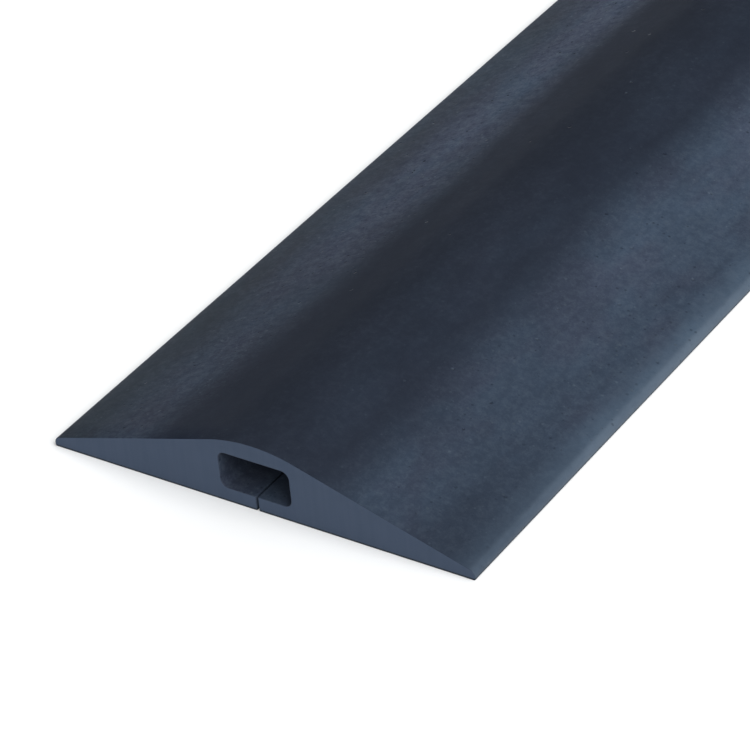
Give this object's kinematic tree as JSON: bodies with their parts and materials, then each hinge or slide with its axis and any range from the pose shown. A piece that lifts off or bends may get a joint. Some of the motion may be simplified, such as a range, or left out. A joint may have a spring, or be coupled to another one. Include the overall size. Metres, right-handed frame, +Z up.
{
  "type": "floor cord cover",
  "caption": "Low, wide rubber strip with a rounded hump and sloping sides, a rectangular cord channel along its middle and a slit underneath for pressing the cord in.",
  "frame": {"origin": "middle of the flat underside, on the floor", "axes": "+X across the strip, +Y along its length, +Z up from the floor"},
  "size_m": [0.0762, 0.9144, 0.012],
  "materials": {
    "black_rubber": "satin slate-black extruded rubber, fine grain and faint lengthwise streaks"
  },
  "bodies": {
    "root": {"cord_cover": "black_rubber"}
  },
  "joints": []
}
